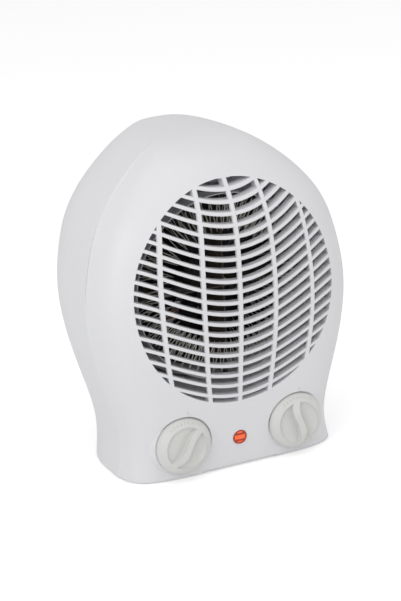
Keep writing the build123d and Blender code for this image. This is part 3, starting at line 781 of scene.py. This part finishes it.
@dataclass
class Knobs(SubAssembly):
    """The two rotary knobs, with the fine scale moulded on their rims.

    Args:
        crease_deg: edges that turn more than this stay sharp.
        axis_mm: how far each knob's axis is from the middle, and its height.
        tick_count: strokes of the scale.
        tick_step_deg: angle between two strokes.
        tick_reach_mm: how far from the axis the strokes stand.
        tick_size_mm: their width, depth and length.
    """

    crease_deg: float = 50.0
    axis_mm: tuple[float, float] = (45.3, 26.5)
    tick_count: int = 9
    tick_step_deg: float = 9.0
    tick_reach_mm: float = 18.6
    tick_size_mm: tuple[float, float, float] = (0.3, 0.5, 1.7)

    def build(self) -> list[Object]:
        """Makes both knobs.

        Returns:
            The new pieces.
        """
        made = []
        for side, node in ((-1, "selector_knob"), (1, "thermostat_knob")):
            knob = smooth_copy(node, f"{node}_moulding", self.crease_deg)
            scale = self.scale(node, side * self.axis_mm[0] * MM)
            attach(scale, frame["nodes"][node]["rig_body"])
            for piece in (knob, scale):
                self.finishing.dress(piece, "knob_plastic")
                made.append(piece)
        return made

    def scale(self, node: str, across: float) -> Object:
        """Makes the strokes of one scale, half sunk in the dome of its knob.

        Args:
            node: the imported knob.
            across: the place of its axis across, in metres.

        Returns:
            The strokes.
        """
        height, reach = self.axis_mm[1] * MM, self.tick_reach_mm * MM
        surface = surface_of(frame["nodes"][node].data)
        places = []
        for number in range(self.tick_count):
            turn = math.radians((number - (self.tick_count - 1) / 2) * self.tick_step_deg)
            x, z = across + reach * math.sin(turn), height + reach * math.cos(turn)
            place, normal = seen_in_front(surface, x, z)
            places.append(place)
        # the dome slopes the same all round, so the last normal serves every stroke
        slope = -math.atan2(math.hypot(normal.x, normal.z), -normal.y)
        wide, deep, long = (size * MM for size in self.tick_size_mm)
        rule = Rule(f"{node}_scale_rule", across=across, height=height, slope=slope, wide=wide, deep=deep,
                    long=long)
        tree, size = rule.tree, rule.inputs
        box = add(tree, "ShaderNodeCombineXYZ", {0: size["wide"], 1: size["deep"], 2: size["long"]})
        stroke = add(tree, "GeometryNodeMeshCube", {"Size": box})
        at = add(tree, "ShaderNodeSeparateXYZ", {0: add(tree, "GeometryNodeInputPosition")}).outputs
        aside = add(tree, "ShaderNodeMath", {0: at[0], 1: size["across"]}, operation="SUBTRACT")
        above = add(tree, "ShaderNodeMath", {0: at[2], 1: size["height"]}, operation="SUBTRACT")
        turn = add(tree, "ShaderNodeMath", {0: aside, 1: above}, operation="ARCTAN2")
        tilt = add(tree, "ShaderNodeCombineXYZ", {0: size["slope"], 1: turn})
        strokes = add(tree, "GeometryNodeInstanceOnPoints", {"Points": size["Places"], "Instance": stroke,
                                                             "Rotation": tilt})
        return rule.make(strokes, f"{node}_scale", self.finishing.materials["knob_plastic"], places)


@dataclass
class Lamp(SubAssembly):
    """The pilot lamp's lens: a thick rim round a shallow window with two level ribs.

    Args:
        height_mm: height of the lamp's axis.
        rim_mm: radius and depth of each place on the rim's outline, from the seat outwards and back.
        window_mm: radius and depth of each place on the window's outline, from its edge to the middle.
        rib_mm: half length, radius and depth of the two ribs.
        rib_places_mm: how far the ribs are above and below the middle.
        steps: places round a turned piece.
    """

    height_mm: float = 23.0
    rim_mm: tuple[tuple[float, float], ...] = (
        (4.9, -60.3), (5.25, -60.3), (5.25, -61.3), (5.1, -61.65), (4.8, -61.8), (4.5, -61.7), (4.35, -61.3),
        (4.3, -60.6))
    window_mm: tuple[tuple[float, float], ...] = (
        (4.5, -61.1), (3.8, -61.25), (2.6, -61.4), (1.3, -61.5), (0.0, -61.53))
    rib_mm: tuple[float, float, float] = (3.3, 0.85, -61.0)
    rib_places_mm: tuple[float, float] = (-2.3, 2.2)
    steps: int = 64

    def build(self) -> list[Object]:
        """Makes the lens.

        Returns:
            The new pieces.
        """
        rim = self.turned("lamp_lens_rim", self.rim_mm + self.rim_mm[:1])
        window = self.turned("lamp_lens_window", self.window_mm)
        ribs = self.ribs()
        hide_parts("lamp_lens")
        # the rim and the ribs wear the darker red that paints shade into the lens
        for piece, finish in ((rim, "lamp_amber_painted_shade"), (window, "lamp_amber"), (ribs, "lamp_amber_painted_shade")):
            self.finishing.dress(piece, "lamp_amber", finish)
            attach(piece, "heater")
        return [rim, window, ribs]

    def turned(self, name: str, outline: tuple[tuple[float, float], ...]) -> Object:
        """Turns an outline round the lamp's axis.

        Args:
            name: the piece's name.
            outline: radius and depth of each place, in millimetres.

        Returns:
            The turned piece.
        """
        height = self.height_mm * MM
        form = bmesh.new()
        corners = [form.verts.new((reach * MM, depth * MM, height)) for reach, depth in outline]
        edges = [form.edges.new(pair) for pair in zip(corners, corners[1:])]
        bmesh.ops.spin(form, geom=corners + edges, cent=(0, 0, height), axis=(0, 1, 0), angle=math.tau,
                       steps=self.steps, use_merge=True)
        bmesh.ops.remove_doubles(form, verts=form.verts, dist=JOIN_MM / 2 * MM)
        bmesh.ops.recalc_face_normals(form, faces=form.faces)
        piece = end_form(form, name)
        piece.data.shade_smooth()
        return piece

    def ribs(self) -> Object:
        """Makes the two level ribs, half sunk in the window.

        Returns:
            Both ribs.
        """
        half, radius, depth = (size * MM for size in self.rib_mm)
        places = [Vector((0, depth, (self.height_mm + up) * MM)) for up in self.rib_places_mm]
        rule = Rule("lamp_rib_rule", half=half, radius=radius)
        tree, size = rule.tree, rule.inputs
        length = add(tree, "ShaderNodeMath", {0: size["half"], 1: 2.0}, operation="MULTIPLY")
        bar = add(tree, "GeometryNodeMeshCylinder", {"Vertices": 16, "Radius": size["radius"],
                                                     "Depth": length})
        bars = add(tree, "GeometryNodeInstanceOnPoints", {"Points": size["Places"], "Instance": bar,
                                                          "Rotation": (0.0, math.pi / 2, 0.0)})
        # the ribs' darker red is painted shade
        return rule.make(bars, "lamp_lens_ribs", self.finishing.materials["lamp_amber_painted_shade"], places)


@dataclass
class HeatingElement(SubAssembly):
    """Resistance wires bent to and fro round the mica plates.

    Args:
        centre_mm: height of the axis.
        inner_mm: radius of the inner bends.
        outer_mm: radius of the outer bends.
        teeth: bends round the ring.
        wire_mm: thickness of the wire.
        steps: points along each bend.
        sharpness: how tight the bends are, up to 1 for straight runs with sharp corners.
        swing: what the wave of a run spans, by which it is brought to the radii.
    """

    centre_mm: float = 134.0
    inner_mm: float = 41.0
    outer_mm: float = 65.3
    teeth: int = 60
    wire_mm: float = 0.8
    steps: int = 8
    sharpness: float = 0.985
    swing: float = 2.8

    def build(self) -> list[Object]:
        """Makes both wires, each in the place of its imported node.

        Returns:
            The new pieces.
        """
        made = []
        for node in ("heating_coil_front", "heating_coil_rear"):
            low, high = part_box(node)
            piece = self.wire(node, (low.y + high.y) / 2)
            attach(piece, "heater")
            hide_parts(node)
            self.finishing.dress(piece, "resistance_wire")
            made.append(piece)
        return made

    def wire(self, node: str, depth: float) -> Object:
        """Makes one ring of wire by a rule for its radius.

        Args:
            node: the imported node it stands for.
            depth: where the ring lies along Y, in metres.

        Returns:
            The wire.
        """
        rule = Rule(f"{node}_rule", inner=self.inner_mm * MM, outer=self.outer_mm * MM, teeth=self.teeth,
                    points=self.teeth * self.steps, wire=self.wire_mm * MM / 2, depth=depth,
                    centre=self.centre_mm * MM)
        tree, size = rule.tree, rule.inputs
        step = {**dict(size.items()), "index": add(tree, "GeometryNodeInputIndex")}
        for name, operation, *values in (
            ("part_of_round", "DIVIDE", "index", "points"),
            ("turn", "MULTIPLY", "part_of_round", math.tau),
            ("bends", "MULTIPLY", "turn", "teeth"),
            ("wave", "SINE", "bends"),
            ("blunt_wave", "MULTIPLY", "wave", self.sharpness),
            ("run", "ARCSINE", "blunt_wave"),
            ("share", "MULTIPLY_ADD", "run", 1 / self.swing, 0.5),
            ("span", "SUBTRACT", "outer", "inner"),
            ("reach", "MULTIPLY_ADD", "share", "span", "inner"),
            ("cosine", "COSINE", "turn"),
            ("sine", "SINE", "turn"),
            ("across", "MULTIPLY", "reach", "cosine"),
            ("up", "MULTIPLY_ADD", "reach", "sine", "centre"),
        ):
            inputs = {number: step.get(value, value) for number, value in enumerate(values)}
            step[name] = add(tree, "ShaderNodeMath", inputs, operation=operation)
        place = add(tree, "ShaderNodeCombineXYZ", {0: step["across"], 1: size["depth"], 2: step["up"]})
        ring = add(tree, "GeometryNodeCurvePrimitiveCircle", {"Resolution": size["points"], "Radius": 1.0})
        bent = add(tree, "GeometryNodeSetPosition", {"Geometry": ring, "Position": place})
        section = add(tree, "GeometryNodeCurvePrimitiveCircle", {"Resolution": 6, "Radius": size["wire"]})
        solid = add(tree, "GeometryNodeCurveToMesh", {"Curve": bent, "Profile Curve": section})
        return rule.make(solid, f"{node}_wire", self.finishing.materials["resistance_wire"])


@dataclass
class Fasteners(SubAssembly):
    """Cross-recessed pan-head screws, made from one rule for every packed group of screws.

    Args:
        kinds_mm: height of the head and radius of the shank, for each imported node.
        recess_share: length and width of the cross, as shares of the head's radius.
        dome_share: how much lower the rim of a head is than its middle, as a share of its height.
        top_share: how much of the head's height counts as its top.
        turn_step: angle from one screw's cross to the next one's, in radians.
    """

    kinds_mm: dict[str, tuple[float, float]] = field(default_factory=lambda: {
        "casing_screws": (2.2, 1.5), "duct_screws": (2.2, 1.5), "motor_screws": (2.2, 1.5),
        "control_screws": (1.6, 1.15)})
    recess_share: tuple[float, float] = (1.15, 0.3)
    dome_share: float = 0.4
    top_share: float = 0.05
    turn_step: float = 1.1

    def build(self) -> list[Object]:
        """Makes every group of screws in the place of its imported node.

        Returns:
            The new pieces.
        """
        made = []
        for node, (head_mm, shank_mm) in self.kinds_mm.items():
            lengths: dict[int, list[tuple[Vector, Vector]]] = {}
            for low, high in solid_boxes(node):
                lengths.setdefault(round((high.y - low.y) / MM), []).append((low, high))
            for length_mm, boxes in lengths.items():
                low, high = boxes[0]
                tops = [Vector(((low.x + high.x) / 2, high.y, (low.z + high.z) / 2)) for low, high in boxes]
                rule = Rule(f"{node}_rule", head=(high.x - low.x) / 2, height=head_mm * MM,
                            shank=shank_mm * MM, length=high.y - low.y - head_mm * MM)
                piece = rule.make(self.screws(rule), f"{node}_{length_mm}_mm",
                                  self.finishing.materials["screw_steel"], tops)
                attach(piece, "heater")
                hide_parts(node)
                self.finishing.dress(piece, "screw_steel")
                made.append(piece)
        return made

    def screws(self, rule: Rule) -> Node:
        """Draws one screw with its head towards +Z, and sets it on every place with its head to the rear.

        Args:
            rule: the tree, with the sizes head, height, shank and length.

        Returns:
            The node that gives all the screws.
        """
        tree, size = rule.tree, rule.inputs
        place = add(tree, "ShaderNodeSeparateXYZ", {0: add(tree, "GeometryNodeInputPosition")}).outputs
        step = {**dict(size.items()), "x": place[0], "y": place[1], "z": place[2],
                "index": add(tree, "GeometryNodeInputIndex")}
        for name, operation, *values in (
            ("head_middle", "MULTIPLY", "height", -0.5),
            ("brim", "MULTIPLY", "height", -self.top_share),
            ("at_top", "GREATER_THAN", "z", "brim"),
            ("x_square", "MULTIPLY", "x", "x"),
            ("square", "MULTIPLY_ADD", "y", "y", "x_square"),
            ("head_square", "MULTIPLY", "head", "head"),
            ("share", "DIVIDE", "square", "head_square"),
            ("share_at_top", "MULTIPLY", "share", "at_top"),
            ("dome", "MULTIPLY", "height", -self.dome_share),
            ("drop", "MULTIPLY", "share_at_top", "dome"),
            ("long", "MULTIPLY", "head", self.recess_share[0]),
            ("thin", "MULTIPLY", "head", self.recess_share[1]),
            ("half_length", "MULTIPLY", "length", -0.5),
            ("shank_middle", "SUBTRACT", "half_length", "height"),
            ("turn", "MULTIPLY", "index", self.turn_step),
        ):
            inputs = {number: step.get(value, value) for number, value in enumerate(values)}
            step[name] = add(tree, "ShaderNodeMath", inputs, operation=operation)
        along = {name: add(tree, "ShaderNodeCombineXYZ", {2: step[name]})
                 for name in ("head_middle", "drop", "shank_middle")}
        head = add(tree, "GeometryNodeMeshCylinder", {
            "Vertices": 40, "Side Segments": 3, "Fill Segments": 5, "Radius": size["head"],
            "Depth": size["height"]}, fill_type="TRIANGLE_FAN")
        head = add(tree, "GeometryNodeTransform", {"Geometry": head, "Translation": along["head_middle"]})
        head = add(tree, "GeometryNodeSetPosition", {"Geometry": head, "Offset": along["drop"]})
        for wide, high in (("long", "thin"), ("thin", "long")):
            box = add(tree, "ShaderNodeCombineXYZ", {0: step[wide], 1: step[high], 2: size["height"]})
            bar = add(tree, "GeometryNodeMeshCube", {"Size": box})
            head = add(tree, "GeometryNodeMeshBoolean", {"Mesh 1": head, "Mesh 2": bar},
                       operation="DIFFERENCE")
        shank = add(tree, "GeometryNodeMeshCylinder", {"Vertices": 24, "Radius": size["shank"],
                                                       "Depth": size["length"]})
        shank = add(tree, "GeometryNodeTransform", {"Geometry": shank, "Translation": along["shank_middle"]})
        both = add(tree, "GeometryNodeJoinGeometry", {0: shank})
        tree.links.new(head.outputs[0], both.inputs[0])
        faced = add(tree, "ShaderNodeCombineXYZ", {0: -math.pi / 2, 1: step["turn"]})
        return add(tree, "GeometryNodeInstanceOnPoints", {"Points": size["Places"], "Instance": both,
                                                          "Rotation": faced})


# Studio

@dataclass(frozen=True)
class SoftLight:
    """One soft square lamp.

    Args:
        name: its name.
        place_m: where it hangs.
        side_m: the side of the square.
        power_w: its power.
    """

    name: str
    place_m: tuple[float, float, float]
    side_m: float
    power_w: float


@dataclass
class Studio:
    """Floor, light and camera.

    Args:
        azimuth_deg: how far the camera stands to the left of the front.
        elevation_deg: how far it looks down.
        roll_deg: its tilt.
        distance_m: how far it is from the point it looks at.
        target_m: that point.
        lens_mm: focal length for a long side of 36 mm.
        lights: the lamps.
        sky: strength of the light from all round.
        floor_hex: colour of the floor's paint.
        floor_lift: how much whiter the floor looks to the camera.
        floor_reach_m: how far the floor runs out.
    """

    azimuth_deg: float = 25.05
    elevation_deg: float = 18.31
    roll_deg: float = -3.0
    distance_m: float = 1.4078
    target_m: tuple[float, float, float] = (-0.00286, -0.012, 0.11399)
    lens_mm: float = 115.46
    lights: tuple[SoftLight, ...] = (SoftLight("key_light", (-1.6, -1.2, 0.9), 1.3, 11.5),
                                     SoftLight("fill_light", (1.4, -1.5, 0.7), 1.4, 4.5),
                                     SoftLight("top_light", (-0.2, -0.3, 2.0), 1.6, 7.0))
    sky: float = 0.67
    floor_hex: str = "F4F4F4"
    floor_lift: float = 0.3
    floor_reach_m: float = 6.0

    def build(self) -> None:
        """Makes the whole studio."""
        self.camera()
        self.world()
        self.floor()
        for light in self.lights:
            self.hang(light)
        bpy.context.scene.view_settings.view_transform = "Standard"

    def camera(self) -> None:
        """Puts the camera where the photograph was taken from."""
        data = bpy.data.cameras.new("camera")
        data.lens = self.lens_mm
        camera = link_object("camera", data)
        view = Matrix.Translation(self.target_m)
        for degrees, axis in ((-self.azimuth_deg, "Z"), (90 - self.elevation_deg, "X"), (self.roll_deg, "Z")):
            view @= Matrix.Rotation(math.radians(degrees), 4, axis)
        camera.matrix_world = view @ Matrix.Translation((0, 0, self.distance_m))
        bpy.context.scene.camera = camera

    def world(self) -> None:
        """Surrounds the scene with soft grey light that looks white to the camera and through glass."""
        world = bpy.data.worlds.new("studio_world")
        world.use_nodes = True
        bpy.context.scene.world = world
        tree = world.node_tree
        tree.nodes.clear()
        path = add(tree, "ShaderNodeLightPath").outputs
        seen = add(tree, "ShaderNodeMath", {0: path["Is Camera Ray"], 1: path["Is Transmission Ray"]},
                   operation="MAXIMUM")
        strength = add(tree, "ShaderNodeMapRange", {"Value": seen, "To Min": self.sky, "To Max": 1.0})
        light = add(tree, "ShaderNodeBackground", {"Color": linear("FFFFFF"), "Strength": strength})
        add(tree, "ShaderNodeOutputWorld", {"Surface": light})

    def floor(self) -> None:
        """Lays a pale floor that runs out to white and keeps the object's shadow."""
        form = bmesh.new()
        bmesh.ops.create_grid(form, x_segments=1, y_segments=1, size=self.floor_reach_m)
        floor = end_form(form, "floor")
        material = bpy.data.materials.new("painted_floor")
        material.use_nodes = True
        tree = material.node_tree
        tree.nodes.clear()
        paint = add(tree, "ShaderNodeBsdfDiffuse", {"Color": linear(self.floor_hex)})
        path = add(tree, "ShaderNodeLightPath").outputs
        lift = add(tree, "ShaderNodeMath", {0: path["Is Camera Ray"], 1: self.floor_lift},
                   operation="MULTIPLY")
        glow = add(tree, "ShaderNodeEmission", {"Color": linear("FFFFFF"), "Strength": lift})
        both = add(tree, "ShaderNodeAddShader", {0: paint, 1: glow})
        add(tree, "ShaderNodeOutputMaterial", {"Surface": both})
        wear(floor, material)

    def hang(self, light: SoftLight) -> None:
        """Hangs one lamp so that it faces the heater.

        Args:
            light: the lamp.
        """
        data = bpy.data.lights.new(light.name, "AREA")
        data.size, data.energy = light.side_m, light.power_w
        lamp = link_object(light.name, data)
        lamp.location = light.place_m
        lamp.rotation_euler = (Vector(self.target_m) - lamp.location).to_track_quat("-Z", "Y").to_euler()


def main() -> None:
    """Builds the studio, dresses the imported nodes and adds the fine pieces, in order."""
    logging.basicConfig(level=logging.INFO, format="%(name)s: %(message)s")
    Studio().build()
    finishing = Finishing()
    finishing.dress_nodes()
    for kind in (Casing, Knobs, Lamp, HeatingElement, Fasteners):
        for piece in kind(finishing).build():
            log.info("%s: %s, %d faces", kind.__name__, piece.name, len(piece.data.polygons))


if __name__ == "__main__":
    main()
